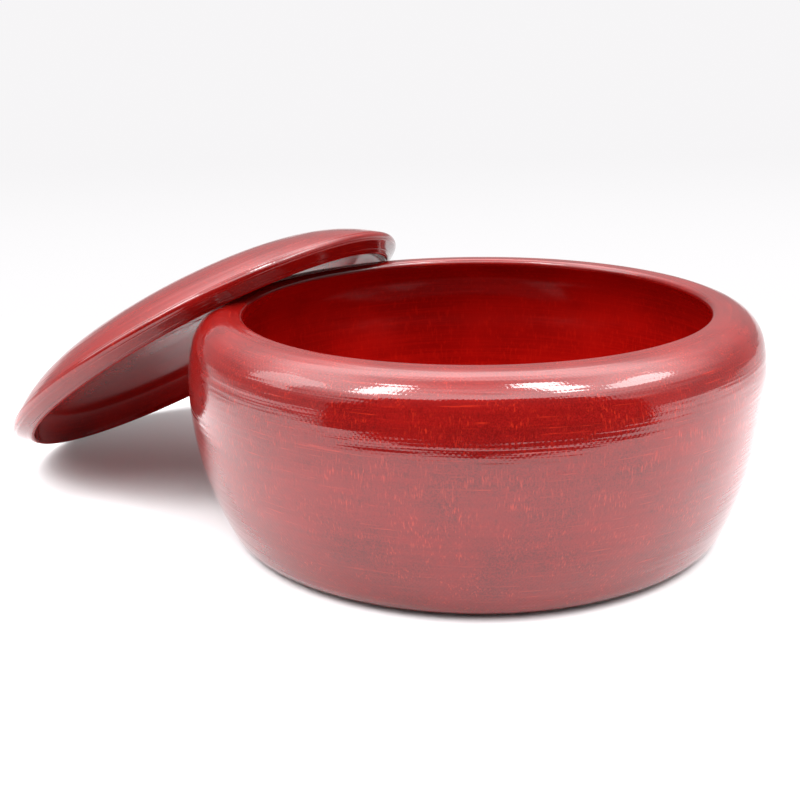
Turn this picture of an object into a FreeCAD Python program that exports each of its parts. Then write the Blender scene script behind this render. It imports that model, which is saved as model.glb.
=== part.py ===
import FreeCAD, Part

import math
import os

# Go stone bowl in cloth-covered lacquered wood: an open bowl and its shallow domed lid, which leans
# on the bowl with its foot on the table. Millimetres, +Z up. The origin is the centre of the bowl's
# flat base, on the table.

# Driving dimensions of the bowl.
bowl_diameter = 150.0        # at its widest
bowl_height = 59.6           # table to the top of the rim
rim_to_widest = 18.6         # how far the widest circle lies below the rim
foot_inset = 16.0            # from the widest radius in to the edge of the flat base
foot_radius = 8.0            # round between the flat base and the belly
upper_belly_radius = 45.0    # gentle curve above the widest circle
shoulder_radius = 9.8        # tight curve that turns in to the rim
mouth_inset = 14.7           # from the widest radius in to the mouth's edge
lip_radius = 1.5             # round on the mouth's edge
bowl_wall = 7.0              # wood, cloth and lacquer together
bowl_floor = 8.0
bowl_inner_corner = 16.0     # round between the inside floor and wall

# Driving dimensions of the lid.
mouth_clearance = 1.4        # the lid's lip drops inside the mouth with this gap all round
lid_overhang = 4.0           # the lid's edge stands out past the mouth's edge by this much
lid_height = 17.6            # lip plane to the crown
crown_radius = 380.0         # nearly flat middle of the dome
dome_edge_radius = 42.0      # tighter fall of the dome towards its edge
edge_roll_radius = 1.5       # rolled edge of the lid
lid_edge_height = 3.7        # middle of the rolled edge above the lip plane
lip_roll_radius = 0.7        # rounded bottom of the lip
lid_thickness = 6.6          # at the crown
lid_ceiling_radius = 300.0
lid_inner_corner = 9.0
edge_groove_radius = 0.35    # fine lines turned above and below the rolled edge
seat_groove_radius = 0.2     # finer line turned in the sloping seat
seat_groove_share = 0.72     # how far down the seat it runs, from the rolled edge to the lip

# Driving thicknesses of the coats.
outer_lacquer = 0.45         # ground and red coats over the cloth
hemp_cloth = 0.5
inner_lacquer = 0.4

# Driving values of the leaning lid.
lean_angle = 34.0            # tilt of the lid from level, degrees
lean_bearing = 143.5         # direction from the bowl to the lid, degrees from +X
lean_clearance = 0.2         # gap kept between the lid, the bowl and the table

# Worked out from the sizes above.
bowl_radius = bowl_diameter / 2
widest_height = bowl_height - rim_to_widest
base_radius = bowl_radius - foot_inset
mouth_radius = bowl_radius - mouth_inset
lip_height = bowl_height - lip_radius
cloth_depth = outer_lacquer + hemp_cloth


def tangent_radius(inset, drop, small):
    """Radius of the arc that starts upright at the widest circle and meets a smaller round."""
    return (inset ** 2 + drop ** 2 - small ** 2) / (2 * (inset - small))


belly_radius = tangent_radius(foot_inset, widest_height - foot_radius, foot_radius)
belly_centre = (bowl_radius - belly_radius, widest_height)
foot_centre = (base_radius, foot_radius)
upper_centre = (bowl_radius - upper_belly_radius, widest_height)
shoulder_height = bowl_height - shoulder_radius
shoulder_reach = math.sqrt(
    (upper_belly_radius - shoulder_radius) ** 2 - (shoulder_height - widest_height) ** 2)
shoulder_centre = (upper_centre[0] + shoulder_reach, shoulder_height)
lip_centre = (mouth_radius + lip_radius, lip_height)


def bearing(a, b):
    """Angle in degrees of the line from point a to point b."""
    return math.degrees(math.atan2(b[1] - a[1], b[0] - a[0]))


def on_circle(centre, radius, angle):
    """Point on a circle at an angle in degrees."""
    turn = math.radians(angle)
    return (centre[0] + radius * math.cos(turn), centre[1] + radius * math.sin(turn))


def arc(centre, radius, start, end):
    """Arc of a section, as (first point, middle point, last point)."""
    return tuple(on_circle(centre, radius, a) for a in (start, (start + end) / 2, end))


def reverse(chain):
    """The same run of lines and arcs, drawn the other way."""
    return [tuple(reversed(piece)) for piece in reversed(chain)]


def edge(piece):
    """Edge in the XZ plane from a line (two points) or an arc (three points)."""
    points = [FreeCAD.Vector(x, 0, z) for x, z in piece]
    if len(points) == 3:
        return Part.Arc(*points).toShape()
    return Part.LineSegment(*points).toShape()


def turned(*chains):
    """Solid turned about Z from runs of lines and arcs, closed with straight lines between them."""
    outline = []
    for chain in chains:
        if outline and math.dist(outline[-1][-1], chain[0][0]) > 1e-6:
            outline.append((outline[-1][-1], chain[0][0]))
        outline.extend(chain)
    if math.dist(outline[-1][-1], outline[0][0]) > 1e-6:
        outline.append((outline[-1][-1], outline[0][0]))
    section = Part.Face(Part.Wire([edge(piece) for piece in outline]))
    return section.revolve(FreeCAD.Vector(0, 0, 0), FreeCAD.Vector(0, 0, 1), 360)


# Bowl ---------------------------------------------------------------------------------------------

foot_angle = bearing(belly_centre, foot_centre)
shoulder_angle = bearing(upper_centre, shoulder_centre)


def bowl_base(depth):
    """Flat underside, moved into the wall by depth."""
    return [((0, depth), (base_radius, depth))]


def bowl_belly(depth):
    """Outside from the edge of the base to the widest circle."""
    return [
        arc(foot_centre, foot_radius - depth, -90, foot_angle),
        arc(belly_centre, belly_radius - depth, foot_angle, 0),
    ]


def bowl_shoulder(depth):
    """Outside from the widest circle over the shoulder and the rim to the mouth's edge."""
    return [
        arc(upper_centre, upper_belly_radius - depth, 0, shoulder_angle),
        arc(shoulder_centre, shoulder_radius - depth, shoulder_angle, 90),
        ((shoulder_centre[0], bowl_height - depth), (lip_centre[0], bowl_height - depth)),
        arc(lip_centre, lip_radius - depth, 90, 180),
    ]


inner_inset = bowl_wall + mouth_radius - bowl_radius
inner_rise = lip_height - widest_height
inner_upper_radius = (inner_inset ** 2 + inner_rise ** 2) / (-2 * inner_inset)
inner_upper_centre = (bowl_radius - bowl_wall - inner_upper_radius, widest_height)
inner_corner_height = bowl_floor + bowl_inner_corner
inner_corner_reach = math.sqrt(
    (belly_radius - bowl_wall - bowl_inner_corner) ** 2
    - (widest_height - inner_corner_height) ** 2)
inner_corner_centre = (belly_centre[0] + inner_corner_reach, inner_corner_height)
inner_corner_angle = bearing(belly_centre, inner_corner_centre)


def bowl_inside(depth):
    """Inside from the middle of the floor to the mouth's edge, moved into the wall by depth."""
    upper = inner_upper_radius + depth
    top_angle = math.degrees(math.asin(inner_rise / upper))
    return [
        ((0, bowl_floor - depth), (inner_corner_centre[0], bowl_floor - depth)),
        arc(inner_corner_centre, bowl_inner_corner + depth, -90, inner_corner_angle),
        arc(belly_centre, belly_radius - bowl_wall + depth, inner_corner_angle, 0),
        arc(inner_upper_centre, upper, 0, top_angle),
    ]


def bowl_pieces():
    """The bowl's layers, from the turned core out to the lacquer."""
    cloth_in = cloth_depth
    cloth_out = outer_lacquer
    core_outside = bowl_base(cloth_in) + bowl_belly(cloth_in) + bowl_shoulder(cloth_in)
    skin = bowl_belly(0) + bowl_shoulder(0)
    skin_back = bowl_belly(cloth_out) + bowl_shoulder(cloth_out)
    return {
        "bowl_wood_core": turned(core_outside, reverse(bowl_inside(inner_lacquer))),
        "bowl_base_cloth": turned(bowl_base(cloth_out), reverse(bowl_base(cloth_in))),
        "bowl_belly_cloth": turned(bowl_belly(cloth_out), reverse(bowl_belly(cloth_in))),
        "bowl_shoulder_cloth": turned(bowl_shoulder(cloth_out), reverse(bowl_shoulder(cloth_in))),
        "bowl_outer_lacquer": turned(skin, reverse(skin_back)),
        "bowl_base_lacquer": turned(bowl_base(0), reverse(bowl_base(cloth_out))),
        "bowl_inner_lacquer": turned(bowl_inside(0), reverse(bowl_inside(inner_lacquer))),
    }


# Lid, drawn level with its lip on the plane z = 0 -------------------------------------------------

lid_radius = mouth_radius + lid_overhang
lip_inner_radius = mouth_radius - mouth_clearance
crown_centre = (0, lid_height - crown_radius)


def circle_crossing(a, reach_a, b, reach_b, side):
    """Crossing of two circles, to the left (side 1) or right (side -1) of the line from a to b."""
    gap = math.dist(a, b)
    along = (reach_a ** 2 - reach_b ** 2 + gap ** 2) / (2 * gap)
    off = side * math.sqrt(reach_a ** 2 - along ** 2)
    ux, uz = (b[0] - a[0]) / gap, (b[1] - a[1]) / gap
    return (a[0] + along * ux - off * uz, a[1] + along * uz + off * ux)


roll_centre = (lid_radius - edge_roll_radius, lid_edge_height)
dome_edge_centre = circle_crossing(
    crown_centre, crown_radius - dome_edge_radius,
    roll_centre, dome_edge_radius - edge_roll_radius, 1)
crown_angle = bearing(crown_centre, dome_edge_centre)
roll_angle = bearing(dome_edge_centre, roll_centre)

lip_roll_centre = (lip_inner_radius + lip_roll_radius, lip_roll_radius)
seat_angle = bearing(lip_roll_centre, roll_centre) - math.degrees(math.acos(
    (lip_roll_radius - edge_roll_radius) / math.dist(lip_roll_centre, roll_centre)))

ceiling_centre = (0, lid_height - lid_thickness - lid_ceiling_radius)
lid_corner_centre = circle_crossing(
    ceiling_centre, lid_ceiling_radius - lid_inner_corner,
    lip_roll_centre, lid_inner_corner + lip_roll_radius, 1)
lip_angle = bearing(lid_corner_centre, lip_roll_centre)
ceiling_angle = bearing(ceiling_centre, lid_corner_centre)


def lid_dome(depth):
    """Top of the lid from the crown to the rolled edge, moved into the wood by depth."""
    return [
        arc(crown_centre, crown_radius - depth, 90, crown_angle),
        arc(dome_edge_centre, dome_edge_radius - depth, crown_angle, roll_angle),
    ]


def lid_edge(depth):
    """Rolled edge and the sloping seat below it, down to the lip."""
    return [
        arc(roll_centre, edge_roll_radius - depth, roll_angle, seat_angle),
        (on_circle(roll_centre, edge_roll_radius - depth, seat_angle),
         on_circle(lip_roll_centre, lip_roll_radius - depth, seat_angle)),
    ]


def lid_inside(depth):
    """From the foot of the seat round the lip, up the inside and to the middle of the ceiling."""
    return [
        arc(lip_roll_centre, lip_roll_radius - depth, seat_angle, lip_angle - 180),
        arc(lid_corner_centre, lid_inner_corner + depth, lip_angle, ceiling_angle),
        arc(ceiling_centre, lid_ceiling_radius + depth, ceiling_angle, 90),
    ]


def groove_cutters():
    """Ring cutters for the fine lines: one on each side of the rolled edge and one in the seat."""
    seat_top = on_circle(roll_centre, edge_roll_radius, seat_angle)
    seat_foot = on_circle(lip_roll_centre, lip_roll_radius, seat_angle)
    seat_line = tuple(a + seat_groove_share * (b - a) for a, b in zip(seat_top, seat_foot))
    lines = [
        (on_circle(roll_centre, edge_roll_radius, roll_angle), edge_groove_radius),
        (seat_top, edge_groove_radius),
        (seat_line, seat_groove_radius),
    ]
    return [Part.makeTorus(middle[0], radius, FreeCAD.Vector(0, 0, middle[1]))
            for middle, radius in lines]


def lid_pieces():
    """The lid's layers, still level."""
    cloth_in = cloth_depth
    cloth_out = outer_lacquer
    core_outside = lid_dome(cloth_in) + lid_edge(cloth_in)
    skin = turned(lid_dome(0) + lid_edge(0), reverse(lid_dome(cloth_out) + lid_edge(cloth_out)))
    for cutter in groove_cutters():
        skin = skin.cut(cutter)
    return {
        "lid_wood_core": turned(core_outside, lid_inside(inner_lacquer)),
        "lid_dome_cloth": turned(lid_dome(cloth_out), reverse(lid_dome(cloth_in))),
        "lid_edge_cloth": turned(lid_edge(cloth_out), reverse(lid_edge(cloth_in))),
        "lid_outer_lacquer": skin,
        "lid_inner_lacquer": turned(lid_inside(0), reverse(lid_inside(inner_lacquer))),
    }


# Leaning the lid ----------------------------------------------------------------------------------

def lean_placement(lid_solids, bowl_solid):
    """Stands the lid's edge on the table and leans it on the bowl.

    The lid tilts up towards the bowl. Its height follows from the lowest point of the rolled edge.
    Its distance from the bowl's axis is halved towards the place where the solids are
    lean_clearance apart.
    """
    tilt = math.radians(lean_angle)
    lift = (lean_clearance + edge_roll_radius + roll_centre[0] * math.sin(tilt)
            - roll_centre[1] * math.cos(tilt))
    heading = math.radians(lean_bearing)
    hinge_line = FreeCAD.Vector(-math.sin(heading), math.cos(heading), 0)
    turn = FreeCAD.Rotation(hinge_line, lean_angle)

    def placed(distance):
        foot = FreeCAD.Vector(distance * math.cos(heading), distance * math.sin(heading), lift)
        return FreeCAD.Placement(foot, turn)

    def gap(distance):
        """Least gap between the lid and the bowl, 0 where they meet."""
        least = math.inf
        for solid in lid_solids:
            moved = solid.copy()
            moved.Placement = placed(distance)
            least = min(least, moved.distToShape(bowl_solid)[0])
        return least

    near, far = bowl_radius, bowl_radius + lid_radius
    while far - near > 0.001:
        middle = (near + far) / 2
        if gap(middle) < lean_clearance:
            near = middle
        else:
            far = middle
    return placed(far)


os.makedirs("parts", exist_ok=True)
pieces = bowl_pieces()
lid = lid_pieces()
leaning = lean_placement(
    (lid["lid_outer_lacquer"], lid["lid_inner_lacquer"]), pieces["bowl_outer_lacquer"])
for name, solid in lid.items():
    solid.Placement = leaning.multiply(solid.Placement)
    pieces[name] = solid

for name, solid in pieces.items():
    if not solid.isValid() or solid.Volume <= 0 or len(solid.Solids) != 1:
        raise ValueError(f"{name} is not one sound solid")
    solid.exportStep(f"parts/{name}.step")
    box = solid.BoundBox
    print(f"{name}: {solid.Volume / 1000:.2f} cm3, X {box.XMin:.1f}..{box.XMax:.1f}, "
          f"Y {box.YMin:.1f}..{box.YMax:.1f}, Z {box.ZMin:.2f}..{box.ZMax:.2f}")
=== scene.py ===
import math

import bpy
import numpy as np
from mathutils import Matrix, Vector


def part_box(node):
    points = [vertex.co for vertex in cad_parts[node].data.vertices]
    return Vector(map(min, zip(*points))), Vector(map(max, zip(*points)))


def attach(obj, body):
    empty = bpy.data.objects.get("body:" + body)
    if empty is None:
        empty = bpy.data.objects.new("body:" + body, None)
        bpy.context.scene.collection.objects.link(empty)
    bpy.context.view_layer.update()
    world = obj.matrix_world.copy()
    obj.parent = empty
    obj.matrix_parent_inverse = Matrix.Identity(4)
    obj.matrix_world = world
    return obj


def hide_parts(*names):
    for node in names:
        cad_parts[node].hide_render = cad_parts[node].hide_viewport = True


# A go stone bowl in red lacquer over woven hemp, with its shallow domed lid leaning on the shoulder.
# Metres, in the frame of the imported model. Every lacquered surface here is a section of straight
# lines and rounds, turned about the piece's own axis.

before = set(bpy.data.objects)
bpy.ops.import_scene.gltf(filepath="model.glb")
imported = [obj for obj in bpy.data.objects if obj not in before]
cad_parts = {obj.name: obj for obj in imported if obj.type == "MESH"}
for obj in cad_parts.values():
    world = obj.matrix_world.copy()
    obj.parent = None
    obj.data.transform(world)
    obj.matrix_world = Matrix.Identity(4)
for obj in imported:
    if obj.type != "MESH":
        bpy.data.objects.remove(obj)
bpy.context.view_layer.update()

MM = 0.001

# Bowl section. The overall sizes are read from the frame; the rest are the turner's own sizes.
outer_low, outer_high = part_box("bowl_outer_lacquer")
BOWL_RADIUS = outer_high.x
BOWL_HEIGHT = outer_high.z
WIDEST_HEIGHT = BOWL_HEIGHT - 18.6 * MM
BASE_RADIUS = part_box("bowl_base_lacquer")[1].x
FOOT_RADIUS = 8.0 * MM
UPPER_BELLY_RADIUS = 45.0 * MM
SHOULDER_RADIUS = 9.8 * MM
MOUTH_RADIUS = BOWL_RADIUS - 14.7 * MM
LIP_RADIUS = 1.5 * MM
BOWL_WALL = 7.0 * MM
BOWL_FLOOR = 8.0 * MM
INNER_CORNER = 16.0 * MM

# Lid section, level, with its lip on the plane z = 0.
LID_RADIUS = MOUTH_RADIUS + 4.0 * MM
LIP_INNER_RADIUS = MOUTH_RADIUS - 1.4 * MM
LID_HEIGHT = 17.6 * MM
CROWN_RADIUS = 380.0 * MM
DOME_EDGE_RADIUS = 42.0 * MM
EDGE_ROLL_RADIUS = 1.5 * MM
EDGE_ROLL_HEIGHT = 3.7 * MM
LIP_ROLL_RADIUS = 0.7 * MM
LID_THICKNESS = 6.6 * MM
CEILING_RADIUS = 300.0 * MM
LID_CORNER = 9.0 * MM
EDGE_GROOVE_RADIUS = 0.35 * MM
SEAT_GROOVE_RADIUS = 0.2 * MM
SEAT_GROOVE_SHARE = 0.72    # of the way down the seat
GROOVE_FROM = 1.65          # angles of a groove's two ends, in radians back from outward
GROOVE_TO = 4.63
GROOVE_WIDTH = 1.02         # what a groove takes from the line on each side of it, in its own radii

OUTER_COAT = 0.45 * MM
INNER_COAT = 0.4 * MM

LEAN_ANGLE = math.radians(34.0)
LEAN_BEARING = math.radians(143.5)

SEGMENTS = 384
SAME_POINT = 1e-7
ON_AXIS = 1e-9
QUARTER_DEGREES = 1440
SWELL_LENGTH = 26.0 * MM

WEAVE_PITCH = 1.25 * MM
BOWL_THREADS = 372
LID_THREADS = 320
BOWL_INSIDE_GLOSS = 0.22
LID_INSIDE_GLOSS = 0.07

# Sections ------------------------------------------------------------------------------------------


def round_points(centre, radius, start, end, finest=1.0 * MM):
    """Points of a round: the centre plus the radius at even angles from start to end, in radians."""
    count = max(5, int(abs(radius * (end - start)) / finest) + 2)
    turn = np.linspace(start, end, count)
    return np.stack([centre[0] + radius * np.cos(turn), centre[1] + radius * np.sin(turn)], -1)


def straight_points(a, b, finest=2.0 * MM):
    """Evenly spaced points from a to b."""
    count = max(2, int(math.dist(a, b) / finest) + 2)
    share = np.linspace(0, 1, count)[:, None]
    return np.array(a) * (1 - share) + np.array(b) * share


def joined(*runs):
    """One run of points from several, without the doubles where they meet."""
    points = np.concatenate(runs)
    step = np.linalg.norm(np.diff(points, axis=0), axis=1)
    return points[np.concatenate([[True], step > SAME_POINT])]


def bearing(a, b):
    """Angle of the line from a to b."""
    return math.atan2(b[1] - a[1], b[0] - a[0])


def on_round(centre, radius, turn):
    """Point of a round at an angle."""
    return (centre[0] + radius * math.cos(turn), centre[1] + radius * math.sin(turn))


def rounds_crossing(a, reach_a, b, reach_b):
    """The crossing of two circles that lies to the left of the line from a to b."""
    gap = math.dist(a, b)
    along = (reach_a ** 2 - reach_b ** 2 + gap ** 2) / (2 * gap)
    off = math.sqrt(reach_a ** 2 - along ** 2)
    ux, uz = (b[0] - a[0]) / gap, (b[1] - a[1]) / gap
    return (a[0] + along * ux - off * uz, a[1] + along * uz + off * ux)


foot_inset = BOWL_RADIUS - BASE_RADIUS
foot_drop = WIDEST_HEIGHT - FOOT_RADIUS
belly_radius = (foot_inset ** 2 + foot_drop ** 2 - FOOT_RADIUS ** 2) / (2 * (foot_inset - FOOT_RADIUS))
belly_centre = (BOWL_RADIUS - belly_radius, WIDEST_HEIGHT)
foot_centre = (BASE_RADIUS, FOOT_RADIUS)
upper_centre = (BOWL_RADIUS - UPPER_BELLY_RADIUS, WIDEST_HEIGHT)
shoulder_height = BOWL_HEIGHT - SHOULDER_RADIUS
shoulder_reach = math.sqrt(
    (UPPER_BELLY_RADIUS - SHOULDER_RADIUS) ** 2 - (shoulder_height - WIDEST_HEIGHT) ** 2)
shoulder_centre = (upper_centre[0] + shoulder_reach, shoulder_height)
lip_centre = (MOUTH_RADIUS + LIP_RADIUS, BOWL_HEIGHT - LIP_RADIUS)


def bowl_outside(depth):
    """Section of the bowl's outside, from the edge of the base over the shoulder to the mouth."""
    foot_angle = bearing(belly_centre, foot_centre)
    shoulder_angle = bearing(upper_centre, shoulder_centre)
    return joined(
        round_points(foot_centre, FOOT_RADIUS - depth, -math.pi / 2, foot_angle),
        round_points(belly_centre, belly_radius - depth, foot_angle, 0),
        round_points(upper_centre, UPPER_BELLY_RADIUS - depth, 0, shoulder_angle),
        round_points(shoulder_centre, SHOULDER_RADIUS - depth, shoulder_angle, math.pi / 2, 0.5 * MM),
        straight_points((shoulder_centre[0], BOWL_HEIGHT - depth), (lip_centre[0], BOWL_HEIGHT - depth)),
        round_points(lip_centre, LIP_RADIUS - depth, math.pi / 2, math.pi, 0.2 * MM),
    )


def bowl_inside(depth):
    """Section of the bowl's inside, from the middle of the floor to the mouth."""
    inset = BOWL_WALL + MOUTH_RADIUS - BOWL_RADIUS
    rise = lip_centre[1] - WIDEST_HEIGHT
    upper_radius = (inset ** 2 + rise ** 2) / (-2 * inset)
    upper = (BOWL_RADIUS - BOWL_WALL - upper_radius, WIDEST_HEIGHT)
    corner_height = BOWL_FLOOR + INNER_CORNER
    corner_reach = math.sqrt(
        (belly_radius - BOWL_WALL - INNER_CORNER) ** 2 - (WIDEST_HEIGHT - corner_height) ** 2)
    corner = (belly_centre[0] + corner_reach, corner_height)
    corner_angle = bearing(belly_centre, corner)
    top_angle = math.asin(rise / (upper_radius + depth))
    return joined(
        straight_points((0, BOWL_FLOOR - depth), (corner[0], BOWL_FLOOR - depth)),
        round_points(corner, INNER_CORNER + depth, -math.pi / 2, corner_angle),
        round_points(belly_centre, belly_radius - BOWL_WALL + depth, corner_angle, 0),
        round_points(upper, upper_radius + depth, 0, top_angle),
    )


crown_centre = (0, LID_HEIGHT - CROWN_RADIUS)
roll_centre = (LID_RADIUS - EDGE_ROLL_RADIUS, EDGE_ROLL_HEIGHT)
dome_edge_centre = rounds_crossing(
    crown_centre, CROWN_RADIUS - DOME_EDGE_RADIUS, roll_centre, DOME_EDGE_RADIUS - EDGE_ROLL_RADIUS)
roll_angle = bearing(dome_edge_centre, roll_centre)
lip_roll_centre = (LIP_INNER_RADIUS + LIP_ROLL_RADIUS, LIP_ROLL_RADIUS)
seat_angle = bearing(lip_roll_centre, roll_centre) - math.acos(
    (LIP_ROLL_RADIUS - EDGE_ROLL_RADIUS) / math.dist(lip_roll_centre, roll_centre))
ceiling_centre = (0, LID_HEIGHT - LID_THICKNESS - CEILING_RADIUS)
lid_corner_centre = rounds_crossing(
    ceiling_centre, CEILING_RADIUS - LID_CORNER, lip_roll_centre, LID_CORNER + LIP_ROLL_RADIUS)


def between(a, b, share):
    """Point at a share of the way from a to b."""
    return (a[0] + share * (b[0] - a[0]), a[1] + share * (b[1] - a[1]))


def groove(centre, outward, radius):
    """Section of one fine line cut in the lid, from its upper side to its lower one.

    It is the half circle that a round cutter leaves: the centre plus the radius at even angles
    through the side that faces away from outward.
    """
    return round_points(centre, radius, outward - GROOVE_FROM, outward - GROOVE_TO, 0.08 * MM)


def lid_outside(depth):
    """Section of the lid's outside, from the crown over the rolled edge to the foot of the seat."""
    crown_angle = bearing(crown_centre, dome_edge_centre)
    roll = EDGE_ROLL_RADIUS - depth
    seat_top = on_round(roll_centre, roll, seat_angle)
    seat_foot = on_round(lip_roll_centre, LIP_ROLL_RADIUS - depth, seat_angle)
    crown = round_points(crown_centre, CROWN_RADIUS - depth, math.pi / 2, crown_angle)
    if depth:
        return joined(
            crown,
            round_points(dome_edge_centre, DOME_EDGE_RADIUS - depth, crown_angle, roll_angle),
            round_points(roll_centre, roll, roll_angle, seat_angle, 0.15 * MM),
            straight_points(seat_top, seat_foot, 0.5 * MM),
        )
    skip = GROOVE_WIDTH * EDGE_GROOVE_RADIUS
    seat_length = math.dist(seat_top, seat_foot)
    line_skip = GROOVE_WIDTH * SEAT_GROOVE_RADIUS / seat_length
    line = between(seat_top, seat_foot, SEAT_GROOVE_SHARE)
    return joined(
        crown,
        round_points(dome_edge_centre, DOME_EDGE_RADIUS, crown_angle, roll_angle + skip / DOME_EDGE_RADIUS),
        groove(on_round(roll_centre, roll, roll_angle), roll_angle, EDGE_GROOVE_RADIUS),
        round_points(roll_centre, roll, roll_angle - skip / roll, seat_angle + skip / roll, 0.15 * MM),
        groove(seat_top, seat_angle, EDGE_GROOVE_RADIUS),
        straight_points(between(seat_top, seat_foot, skip / seat_length),
                        between(seat_top, seat_foot, SEAT_GROOVE_SHARE - line_skip), 0.5 * MM),
        groove(line, seat_angle, SEAT_GROOVE_RADIUS),
        straight_points(between(seat_top, seat_foot, SEAT_GROOVE_SHARE + line_skip), seat_foot, 0.5 * MM),
    )


def lid_inside(depth):
    """Section from the foot of the seat round the lip and up to the middle of the ceiling."""
    lip_angle = bearing(lid_corner_centre, lip_roll_centre)
    ceiling_angle = bearing(ceiling_centre, lid_corner_centre)
    return joined(
        round_points(lip_roll_centre, LIP_ROLL_RADIUS - depth, seat_angle, lip_angle - math.pi, 0.1 * MM),
        round_points(lid_corner_centre, LID_CORNER + depth, lip_angle, ceiling_angle, 0.5 * MM),
        round_points(ceiling_centre, CEILING_RADIUS + depth, ceiling_angle, math.pi / 2),
    )


# Turned pieces ------------------------------------------------------------------------------------


def unevenness(ring, run, depth):
    """Hand-rubbed lacquer isn't true: slow swells round the piece and along its section.

    The sum of three waves of the angle and the distance along the section, which stays within depth.
    """
    along = run * (2 * math.pi / SWELL_LENGTH)
    swell = (np.sin(5 * ring + 1.3 * along) + 0.7 * np.sin(11 * ring - 0.8 * along + 1.1)
             + 0.5 * np.sin(3 * ring + 2.1 * along + 2.3))
    return depth * swell / 2.2


def turned(name, section, swell=0.0, place=None):
    """A closed solid turned from a section about its axis.

    Each point of the grid is (r cos a, r sin a, z) for a point (r, z) of the section and an angle a,
    moved along the section's normal by the unevenness.
    A section that starts and ends on the axis closes at two poles; any other is a ring. The piece's
    "wrap" attribute holds (r cos a, r sin a, distance along the section), which the materials read.
    """
    poles = section[0][0] < ON_AXIS
    ring = np.arange(SEGMENTS) * (2 * math.pi / SEGMENTS)
    step = np.linalg.norm(np.diff(section, axis=0), axis=1)
    run = np.concatenate([[0], np.cumsum(step)])
    body = section[1:-1] if poles else section
    along = run[1:-1] if poles else run
    tangent = np.gradient(section, axis=0)
    normal = np.stack([tangent[:, 1], -tangent[:, 0]], -1)
    normal /= np.maximum(np.linalg.norm(normal, axis=1), 1e-12)[:, None]
    normal = normal[1:-1] if poles else normal
    off = unevenness(ring[None, :], along[:, None], swell)
    r = body[:, :1] + normal[:, :1] * off
    z = body[:, 1:] + normal[:, 1:] * off
    grid = np.stack([r * np.cos(ring), r * np.sin(ring), z + 0 * ring], -1).reshape(-1, 3)
    shape = (len(body), SEGMENTS)
    wrap = np.stack([body[:, :1] * np.cos(ring), body[:, :1] * np.sin(ring),
                     np.broadcast_to(along[:, None], shape)], -1).reshape(-1, 3)
    count = len(body)
    rows = np.arange(count - 1 if poles else count)
    i, j = np.meshgrid(rows, np.arange(SEGMENTS), indexing="ij")
    above, beside = (i + 1) % count, (j + 1) % SEGMENTS
    quads = np.stack([i * SEGMENTS + j, i * SEGMENTS + beside,
                      above * SEGMENTS + beside, above * SEGMENTS + j], -1).reshape(-1, 4)
    faces = quads.tolist()
    if poles:
        first, last = len(grid), len(grid) + 1
        grid = np.concatenate([grid, [[0, 0, section[0][1]], [0, 0, section[-1][1]]]])
        wrap = np.concatenate([wrap, [[0, 0, run[0]], [0, 0, run[-1]]]])
        spin = np.arange(SEGMENTS)
        turn = (spin + 1) % SEGMENTS
        end = (count - 1) * SEGMENTS
        faces += np.stack([np.full_like(spin, first), turn, spin], -1).tolist()
        faces += np.stack([np.full_like(spin, last), end + spin, end + turn], -1).tolist()
    mesh = bpy.data.meshes.new(name)
    mesh.from_pydata(grid.tolist(), [], faces)
    attribute = mesh.attributes.new("wrap", "FLOAT_VECTOR", "POINT")
    attribute.data.foreach_set("vector", wrap.astype(np.float32).ravel())
    mesh.polygons.foreach_set("use_smooth", np.ones(len(mesh.polygons), bool))
    if place is not None:
        mesh.transform(place)
    mesh.update()
    piece = bpy.data.objects.new(name, mesh)
    bpy.context.scene.collection.objects.link(piece)
    return piece


def lean():
    """Tilt of the level lid, and its place: the tilted section's box is moved onto the lid in the frame."""
    tilt = Matrix.Rotation(LEAN_ANGLE, 4, Vector((-math.sin(LEAN_BEARING), math.cos(LEAN_BEARING), 0)))
    section = lid_outside(0)
    ring = np.linspace(0, 2 * math.pi, QUARTER_DEGREES + 1)
    grid = np.stack([section[:, :1] * np.cos(ring), section[:, :1] * np.sin(ring),
                     section[:, 1:] + 0 * ring], -1).reshape(-1, 3)
    tilted = grid @ np.array(tilt.to_3x3()).T
    low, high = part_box("lid_outer_lacquer")
    centre_here = (tilted.min(0) + tilted.max(0)) / 2
    centre_there = (np.array(low) + np.array(high)) / 2
    return Matrix.Translation(Vector(centre_there - centre_here)) @ tilt


# Materials ----------------------------------------------------------------------------------------


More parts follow.
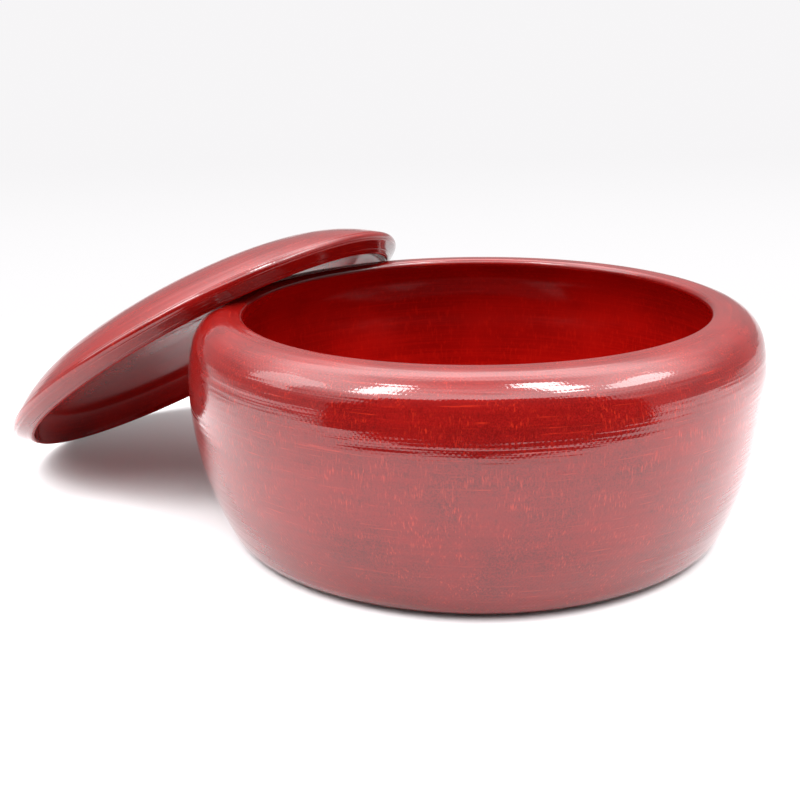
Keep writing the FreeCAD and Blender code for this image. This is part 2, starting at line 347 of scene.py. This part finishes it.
class Finish:
    """A material's node tree, with short ways to add nodes and join them."""

    def __init__(self, name):
        self.material = bpy.data.materials.new(name)
        self.material.use_nodes = True
        self.tree = self.material.node_tree
        self.shader = self.tree.nodes["Principled BSDF"]

    def put(self, socket, value):
        """Links a socket to the input, or sets a plain value on it."""
        if isinstance(value, bpy.types.NodeSocket):
            self.tree.links.new(value, socket)
        else:
            socket.default_value = value

    def node(self, kind, inputs=(), **settings):
        made = self.tree.nodes.new("ShaderNode" + kind)
        for key, value in settings.items():
            setattr(made, key, value)
        for key, value in dict(inputs).items():
            self.put(made.inputs[key], value)
        return made

    def math(self, operation, *values):
        made = self.node("Math", operation=operation)
        for socket, value in zip(made.inputs, values):
            self.put(socket, value)
        return made.outputs[0]

    def spread(self, value, low, high, to_low=0.0, to_high=1.0):
        """Value from low..high to to_low..to_high, held at the ends and eased."""
        made = self.node("MapRange", {"Value": value, "From Min": low, "From Max": high,
                                      "To Min": to_low, "To Max": to_high},
                         interpolation_type="SMOOTHSTEP")
        return made.outputs["Result"]

    def noise(self, vector, scale, detail=2.0, roughness=0.5):
        made = self.node("TexNoise", {"Vector": vector, "Scale": scale, "Detail": detail,
                                      "Roughness": roughness})
        return made.outputs["Fac"]

    def blend(self, share, a, b):
        made = self.node("Mix", data_type="RGBA")
        self.put(made.inputs["Factor"], share)
        self.put(made.inputs["A"], a)
        self.put(made.inputs["B"], b)
        return made.outputs["Result"]

    def bump(self, height, distance):
        made = self.node("Bump", {"Height": height, "Distance": distance, "Strength": 1.0})
        return made.outputs["Normal"]


def wrap_of(finish):
    """The piece's wrap attribute: (r cos a, r sin a, distance along the section)."""
    return finish.node("Attribute", attribute_type="GEOMETRY", attribute_name="wrap").outputs["Vector"]


def wrapped(finish, across, along):
    """Coordinates that follow a turned piece: across scales them round it, along up its section."""
    made = finish.node("VectorMath", operation="MULTIPLY")
    finish.put(made.inputs[0], wrap_of(finish))
    made.inputs[1].default_value = (across, across, along)
    return made.outputs[0]


def threads(finish, around, pitch):
    """Heights of the two sets of threads of a plain weave, -1 to 1, wandering a little.

    The warp is the sine of the angle times the number of threads around, and fades towards the
    axis; the weft is the sine of the distance along the section over the pitch. A slow noise
    pushes both out of step.
    """
    parts = finish.node("SeparateXYZ", {"Vector": wrap_of(finish)}).outputs
    wander = finish.noise(wrapped(finish, 1, 1), 130.0, 2.0)
    drift = finish.math("MULTIPLY", finish.math("SUBTRACT", wander, 0.5), 9.0)
    angle = finish.math("ARCTAN2", parts["Y"], parts["X"])
    flat = finish.node("CombineXYZ", {"X": parts["X"], "Y": parts["Y"]}).outputs[0]
    reach = finish.node("VectorMath", {"Vector": flat}, operation="LENGTH").outputs["Value"]
    warp = finish.math("SINE", finish.math("MULTIPLY_ADD", angle, float(around), drift))
    warp = finish.math("MULTIPLY", warp, finish.spread(reach, 20 * MM, 50 * MM))
    weft = finish.math("SINE", finish.math("MULTIPLY_ADD", parts["Z"], 2 * math.pi / pitch, drift))
    return warp, weft


def red_lacquer(name, around):
    """Clear red lacquer rubbed over coarse hemp, with bright threads and darker bands and pits."""
    finish = Finish(name)
    shaded_red = (0.080, 0.0009, 0.0009, 1)
    lit_red = (0.142, 0.0016, 0.0012, 1)
    grain_red = (0.172, 0.0026, 0.0018, 1)
    band_red = (0.060, 0.0008, 0.0008, 1)
    pit_red = (0.060, 0.0010, 0.0008, 1)
    thread_red = (0.42, 0.020, 0.006, 1)
    warp, weft = threads(finish, around, WEAVE_PITCH)
    dashes = finish.noise(wrapped(finish, 2600, 420), 1.0, 2.0)
    pits = finish.noise(wrapped(finish, 1100, 330), 1.0, 3.0)
    streaks = finish.noise(wrapped(finish, 70, 2200), 1.0, 3.0, 0.6)
    lines = finish.noise(wrapped(finish, 20, 800), 1.0, 2.0)
    bands = finish.noise(wrapped(finish, 14, 560), 1.0, 3.0)
    ripples = finish.noise(wrapped(finish, 24, 330), 1.0, 2.0)
    clouds = finish.noise(wrapped(finish, 1, 1), 60.0, 3.0)
    grain = finish.noise(wrapped(finish, 1, 1), 2600.0, 2.0)
    patch = finish.noise(wrapped(finish, 1, 1.6), 150.0, 2.0)
    weave = finish.math("MULTIPLY", warp, weft)
    warp_shows = finish.math("MULTIPLY", finish.spread(dashes, 0.52, 0.74),
                             finish.spread(patch, 0.38, 0.66))
    weft_shows = finish.math("MULTIPLY", finish.spread(streaks, 0.58, 0.74),
                             finish.spread(patch, 0.65, 0.35))
    thread = finish.math("MAXIMUM", warp_shows, weft_shows)
    deep = finish.blend(finish.spread(clouds, 0.3, 0.7), shaded_red, lit_red)
    body = finish.blend(finish.spread(grain, 0.25, 0.8), deep, grain_red)
    banded = finish.blend(finish.spread(bands, 0.36, 0.60, 0.22, 0.0), body, band_red)
    pitted = finish.blend(finish.spread(pits, 0.44, 0.28, 0.0, 0.3), banded, pit_red)
    colour = finish.blend(finish.math("MULTIPLY", thread, 0.5), pitted, thread_red)
    height = finish.math("MULTIPLY_ADD", weave, 0.3, finish.math("MULTIPLY", dashes, 0.8))
    height = finish.math("MULTIPLY_ADD", streaks, 1.0, height)
    gloss_height = finish.math("MULTIPLY_ADD", lines, 5.5, finish.math("MULTIPLY", height, 0.8))
    gloss_height = finish.math("MULTIPLY_ADD", ripples, 16.0, gloss_height)
    finish.put(finish.shader.inputs["Base Color"], colour)
    finish.put(finish.shader.inputs["Roughness"], finish.spread(grain, 0.2, 0.8, 0.4, 0.55))
    finish.put(finish.shader.inputs["Normal"], finish.bump(height, 0.03 * MM))
    finish.shader.inputs["Specular IOR Level"].default_value = 0.05
    finish.shader.inputs["Coat Weight"].default_value = 1.0
    finish.shader.inputs["Coat Roughness"].default_value = 0.055
    finish.shader.inputs["Coat IOR"].default_value = 1.5
    finish.put(finish.shader.inputs["Coat Normal"], finish.bump(gloss_height, 0.012 * MM))
    return finish.material


def dark_lacquer(name, gloss):
    """Smooth deep red lacquer of the insides, with faint brushing round the piece."""
    finish = Finish(name)
    clouds = finish.noise(wrapped(finish, 1, 1), 45.0, 3.0)
    brush = finish.noise(wrapped(finish, 40, 1900), 1.0, 2.0)
    flecks = finish.noise(wrapped(finish, 1600, 420), 1.0, 2.0)
    dark_red = (0.19, 0.0016, 0.0013, 1)
    warm_red = (0.27, 0.0024, 0.0016, 1)
    brush_red = (0.36, 0.005, 0.003, 1)
    fleck_red = (0.46, 0.010, 0.004, 1)
    colour = finish.blend(finish.spread(clouds, 0.3, 0.7), dark_red, warm_red)
    colour = finish.blend(finish.spread(brush, 0.4, 0.75, 0.0, 0.35), colour, brush_red)
    colour = finish.blend(finish.spread(flecks, 0.5, 0.8, 0.0, 0.35), colour, fleck_red)
    finish.put(finish.shader.inputs["Base Color"], colour)
    finish.put(finish.shader.inputs["Roughness"], finish.spread(clouds, 0.2, 0.8, 0.09, 0.13))
    finish.put(finish.shader.inputs["Normal"], finish.bump(brush, 0.002 * MM))
    finish.shader.inputs["Specular IOR Level"].default_value = gloss
    return finish.material


def object_coordinates(finish):
    return finish.node("TexCoord").outputs["Object"]


def base_lacquer(name):
    """The lacquer under the base, scuffed duller here and there."""
    finish = Finish(name)
    place = object_coordinates(finish)
    clouds = finish.noise(place, 60.0, 3.0)
    scuffs = finish.noise(place, 900.0, 2.0)
    colour = finish.blend(finish.spread(clouds, 0.3, 0.7), (0.08, 0.002, 0.0018, 1), (0.13, 0.0045, 0.003, 1))
    finish.put(finish.shader.inputs["Base Color"], colour)
    finish.put(finish.shader.inputs["Roughness"], finish.spread(scuffs, 0.3, 0.7, 0.25, 0.5))
    finish.put(finish.shader.inputs["Normal"], finish.bump(scuffs, 0.004 * MM))
    return finish.material


def turned_wood(name):
    """Pale close-grained wood with rings across the piece."""
    finish = Finish(name)
    place = finish.node("Mapping", {"Vector": object_coordinates(finish),
                                    "Scale": (1.0, 8.0, 1.0)}).outputs[0]
    rings = finish.node("TexWave", {"Vector": place, "Scale": 18.0, "Distortion": 5.0, "Detail": 3.0},
                        wave_type="RINGS").outputs["Fac"]
    pores = finish.noise(place, 700.0, 2.0)
    colour = finish.blend(rings, (0.42, 0.27, 0.15, 1), (0.27, 0.155, 0.075, 1))
    colour = finish.blend(finish.spread(pores, 0.35, 0.6, 0.4, 0.0), colour, (0.14, 0.07, 0.035, 1))
    finish.put(finish.shader.inputs["Base Color"], colour)
    finish.shader.inputs["Roughness"].default_value = 0.6
    finish.put(finish.shader.inputs["Normal"], finish.bump(pores, 0.05 * MM))
    return finish.material


def hemp_cloth(name):
    """Coarse plain weave, soaked red."""
    finish = Finish(name)
    place = object_coordinates(finish)
    parts = finish.node("SeparateXYZ", {"Vector": place}).outputs
    turns = 2 * math.pi / WEAVE_PITCH
    warp = finish.math("SINE", finish.math("MULTIPLY", parts["X"], turns))
    weft = finish.math("SINE", finish.math("MULTIPLY", parts["Z"], turns))
    weave = finish.math("MULTIPLY", warp, weft)
    fuzz = finish.noise(place, 1500.0, 3.0)
    colour = finish.blend(finish.spread(weave, -1, 1), (0.09, 0.012, 0.008, 1), (0.24, 0.045, 0.028, 1))
    colour = finish.blend(finish.spread(fuzz, 0.4, 0.7, 0, 0.4), colour, (0.32, 0.09, 0.05, 1))
    finish.put(finish.shader.inputs["Base Color"], colour)
    finish.shader.inputs["Roughness"].default_value = 0.85
    finish.put(finish.shader.inputs["Normal"], finish.bump(weave, 0.12 * MM))
    return finish.material


# Studio -------------------------------------------------------------------------------------------

FLOOR_REACH = 4.0
BACKDROP_HEIGHT = 5.0
BACKDROP_COLOUR = (0.925, 0.915, 0.925, 1)
PAPER_FADE_START = 0.0
PAPER_FADE_END = 0.26
PAPER_DUSK_END = 0.9
PAPER_COLOUR = (0.74, 0.735, 0.74, 1)
PAPER_GLOW_NEAR = 1.1
BACKDROP_SIDES = 96
MAT_HEIGHT = 0.0005
SKY_PEAK = 6.0
SKY_STOPS = [math.sin(math.radians(rise)) for rise in (0, 10, 20, 30, 40, 50, 60, 70, 90)]
FRONT_WALLS = (0.5, 0.5, 0.9, 2.7, 4.6, 5.4, 5.4, 3.6, 1.7)
REAR_WALLS = (0.35, 0.4, 0.5, 0.9, 1.9, 4.8, 6.0, 4.8, 1.7)


def plain_material(name, colour, strength=None):
    """A matt colour, or with a strength an even glow, which at strength 0 is black."""
    material = bpy.data.materials.new(name)
    material.use_nodes = True
    tree = material.node_tree
    if strength is None:
        shader = tree.nodes["Principled BSDF"]
        shader.inputs["Base Color"].default_value = colour
        shader.inputs["Roughness"].default_value = 0.9
        shader.inputs["Specular IOR Level"].default_value = 0.1
        return material
    tree.nodes.remove(tree.nodes["Principled BSDF"])
    glow = tree.nodes.new("ShaderNodeEmission")
    glow.inputs["Color"].default_value = colour
    glow.inputs["Strength"].default_value = strength
    tree.links.new(glow.outputs[0], tree.nodes["Material Output"].inputs["Surface"])
    return material


def studio_sheet(name, corners, material):
    """A flat stage piece from its corners in order."""
    mesh = bpy.data.meshes.new(name)
    mesh.from_pydata(corners, [], [list(range(len(corners)))])
    mesh.materials.append(material)
    sheet = bpy.data.objects.new(name, mesh)
    bpy.context.scene.collection.objects.link(sheet)
    return sheet


def only_for(piece, camera=False, diffuse=False, glossy=False):
    """Which rays see a stage piece. It casts no shadow."""
    piece.visible_camera = camera
    piece.visible_diffuse = diffuse
    piece.visible_glossy = glossy
    piece.visible_transmission = False
    piece.visible_volume_scatter = False
    piece.visible_shadow = False


def floor_paper():
    """White paper, which from the bowl's middle backwards fades along Y into the backdrop's colour."""
    material = plain_material("white_paper", PAPER_COLOUR)
    tree = material.node_tree
    place = tree.nodes.new("ShaderNodeTexCoord").outputs["Object"]
    parts = tree.nodes.new("ShaderNodeSeparateXYZ")
    tree.links.new(place, parts.inputs[0])
    fade = tree.nodes.new("ShaderNodeMapRange")
    fade.interpolation_type = "SMOOTHERSTEP"
    tree.links.new(parts.outputs["Y"], fade.inputs["Value"])
    fade.inputs["From Min"].default_value = PAPER_FADE_START
    fade.inputs["From Max"].default_value = PAPER_FADE_END
    dusk = tree.nodes.new("ShaderNodeMapRange")
    dusk.interpolation_type = "SMOOTHSTEP"
    tree.links.new(parts.outputs["Y"], dusk.inputs["Value"])
    dusk.inputs["From Min"].default_value = PAPER_FADE_END / 2
    dusk.inputs["From Max"].default_value = PAPER_DUSK_END
    dusk.inputs["To Min"].default_value = PAPER_GLOW_NEAR
    glow = tree.nodes.new("ShaderNodeEmission")
    glow.inputs["Color"].default_value = BACKDROP_COLOUR
    tree.links.new(dusk.outputs["Result"], glow.inputs["Strength"])
    mix = tree.nodes.new("ShaderNodeMixShader")
    tree.links.new(fade.outputs["Result"], mix.inputs["Fac"])
    tree.links.new(tree.nodes["Principled BSDF"].outputs[0], mix.inputs[1])
    tree.links.new(glow.outputs[0], mix.inputs[2])
    tree.links.new(mix.outputs[0], tree.nodes["Material Output"].inputs["Surface"])
    return material


def floor_and_backdrop():
    """A white sheet under the bowl, and a far wall all round that only the camera sees."""
    turn = np.linspace(0, 2 * math.pi, BACKDROP_SIDES + 1)[:-1]
    edge = np.stack([FLOOR_REACH * np.cos(turn), FLOOR_REACH * np.sin(turn), 0 * turn], -1)
    studio_sheet("floor", edge.tolist(), floor_paper())
    top = edge + [0, 0, BACKDROP_HEIGHT]
    count = len(edge)
    mesh = bpy.data.meshes.new("backdrop")
    mesh.from_pydata(np.concatenate([edge, top]).tolist(), [],
                     [[i, (i + 1) % count, count + (i + 1) % count, count + i] for i in range(count)])
    mesh.materials.append(plain_material("backdrop_glow", BACKDROP_COLOUR, 1.0))
    wall = bpy.data.objects.new("backdrop", mesh)
    bpy.context.scene.collection.objects.link(wall)
    only_for(wall, camera=True)


def black_cards():
    """The unlit side of the room: a tapered card up front and a mat before the bowl."""
    black = plain_material("black_card", (0, 0, 0, 1), 0.0)
    far, near, near_half_width = -0.95, -0.27, 0.6
    foot, waist, top = (1.75, 0.0), (1.62, 0.42), (0.72, 0.98)
    outline = [(-foot[0], foot[1]), foot, waist, top, (-top[0], top[1]), (-waist[0], waist[1])]
    card = studio_sheet("front_card", [(x, far, z) for x, z in outline], black)
    mat = studio_sheet("front_mat", [(-foot[0], far, MAT_HEIGHT), (foot[0], far, MAT_HEIGHT),
                                     (near_half_width, near, MAT_HEIGHT),
                                     (-near_half_width, near, MAT_HEIGHT)], black)
    only_for(card, glossy=True, diffuse=True)
    only_for(mat, glossy=True)


def softbox(name, azimuth, elevation, distance, width, height, radiance):
    """An even panel of light that faces the bowl, with energy of 4 times its radiance times its area.

    Azimuth and elevation are in degrees. Azimuth 0 is towards -Y, and + is towards +X.
    """
    light = bpy.data.lights.new(name, "AREA")
    light.shape = "RECTANGLE"
    light.size = width
    light.size_y = height
    light.energy = 4 * radiance * width * height
    lamp = bpy.data.objects.new(name, light)
    bpy.context.scene.collection.objects.link(lamp)
    a, e = math.radians(azimuth), math.radians(elevation)
    aim = Vector((0, 0, 0.04))
    out = Vector((math.sin(a) * math.cos(e), -math.cos(a) * math.cos(e), math.sin(e)))
    lamp.location = aim + distance * out
    lamp.rotation_euler = out.to_track_quat("Z", "Y").to_euler()
    lamp.visible_camera = False


def light_ramp(tree, height, levels):
    """Light of the walls by height, from the floor line to overhead: one level for each of SKY_STOPS."""
    ramp = tree.nodes.new("ShaderNodeValToRGB")
    tree.links.new(height, ramp.inputs["Fac"])
    elements = ramp.color_ramp.elements
    while len(elements) < len(levels):
        elements.new(0.5)
    for element, place, level in zip(elements, SKY_STOPS, levels):
        share = level / SKY_PEAK
        element.position = place
        element.color = (share, share * 0.99, share, 1)
    return ramp.outputs["Color"]


def sky():
    """White walls and ceiling: bright high up, dimmer low down and overhead, and at the back
    dimmer than in front up to 50 degrees but brighter above it."""
    world = bpy.data.worlds.new("studio")
    bpy.context.scene.world = world
    world.use_nodes = True
    tree = world.node_tree
    direction = tree.nodes.new("ShaderNodeTexCoord").outputs["Generated"]
    parts = tree.nodes.new("ShaderNodeSeparateXYZ")
    tree.links.new(direction, parts.inputs[0])
    front = light_ramp(tree, parts.outputs["Z"], FRONT_WALLS)
    rear = light_ramp(tree, parts.outputs["Z"], REAR_WALLS)
    turned_away = tree.nodes.new("ShaderNodeMapRange")
    tree.links.new(parts.outputs["Y"], turned_away.inputs["Value"])
    turned_away.inputs["From Max"].default_value = 0.5
    mix = tree.nodes.new("ShaderNodeMix")
    mix.data_type = "RGBA"
    tree.links.new(turned_away.outputs["Result"], mix.inputs["Factor"])
    tree.links.new(front, mix.inputs["A"])
    tree.links.new(rear, mix.inputs["B"])
    background = tree.nodes["Background"]
    tree.links.new(mix.outputs["Result"], background.inputs["Color"])
    background.inputs["Strength"].default_value = SKY_PEAK


def studio():
    floor_and_backdrop()
    black_cards()
    sky()
    softbox("left_window", -93, 34, 1.5, 0.6, 0.75, 2.5)
    softbox("left_lamp", -58, 56, 1.5, 0.24, 0.62, 15.0)
    softbox("right_window", 80, 46, 1.5, 0.6, 0.35, 7.0)
    softbox("right_lamp", 50, 66, 1.5, 0.26, 0.60, 17.0)


# Camera -------------------------------------------------------------------------------------------


def camera():
    """View from the front and above, over the rim into the bowl. The turns are in radians."""
    lens = bpy.data.cameras.new("camera")
    lens.sensor_width = 36.0
    lens.lens = 59.55
    lens.clip_start = 0.01
    lens.clip_end = 20.0
    eye = bpy.data.objects.new("camera", lens)
    bpy.context.scene.collection.objects.link(eye)
    eye.location = (-0.02652, -0.33732, 0.13512)
    down, heading, roll = 0.2922, 0.0195, 0.0177
    look = (Matrix.Rotation(-heading, 3, "Z") @ Matrix.Rotation(math.pi / 2 - down, 3, "X")
            @ Matrix.Rotation(-roll, 3, "Z"))
    eye.rotation_euler = look.to_euler()
    bpy.context.scene.camera = eye


# Assembly -----------------------------------------------------------------------------------------

camera()
studio()
bpy.context.scene.view_settings.view_transform = "Standard"
bpy.context.scene.cycles.use_denoising = True

bowl_skin = turned("bowl_lacquer_skin", joined(bowl_outside(0), bowl_outside(OUTER_COAT)[::-1]),
                   swell=0.025 * MM)
bowl_lining = turned("bowl_lining", joined(bowl_inside(INNER_COAT), bowl_inside(0)[::-1])[::-1],
                     swell=0.02 * MM)
lid_place = lean()
lid_skin = turned("lid_lacquer_skin", joined(lid_outside(OUTER_COAT), lid_outside(0)[::-1]),
                  swell=0.025 * MM, place=lid_place)
lid_lining = turned("lid_lining", joined(lid_inside(INNER_COAT), lid_inside(0)[::-1])[::-1],
                    swell=0.015 * MM, place=lid_place)

bowl_skin.data.materials.append(red_lacquer("bowl_red_lacquer", BOWL_THREADS))
bowl_lining.data.materials.append(dark_lacquer("bowl_dark_lacquer", BOWL_INSIDE_GLOSS))
lid_skin.data.materials.append(red_lacquer("lid_red_lacquer", LID_THREADS))
lid_lining.data.materials.append(dark_lacquer("lid_dark_lacquer", LID_INSIDE_GLOSS))

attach(bowl_skin, "bowl")
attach(bowl_lining, "bowl")
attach(lid_skin, "lid")
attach(lid_lining, "lid")
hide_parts("bowl_outer_lacquer")
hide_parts("bowl_inner_lacquer")
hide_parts("lid_outer_lacquer")
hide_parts("lid_inner_lacquer")

wood = turned_wood("turned_wood")
cloth = hemp_cloth("hemp_cloth")
under = base_lacquer("base_lacquer")
for node, material in (("bowl_wood_core", wood), ("lid_wood_core", wood), ("bowl_base_cloth", cloth),
                       ("bowl_belly_cloth", cloth), ("bowl_shoulder_cloth", cloth),
                       ("lid_dome_cloth", cloth), ("lid_edge_cloth", cloth), ("bowl_base_lacquer", under)):
    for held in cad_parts[node].material_slots:
        held.material = material
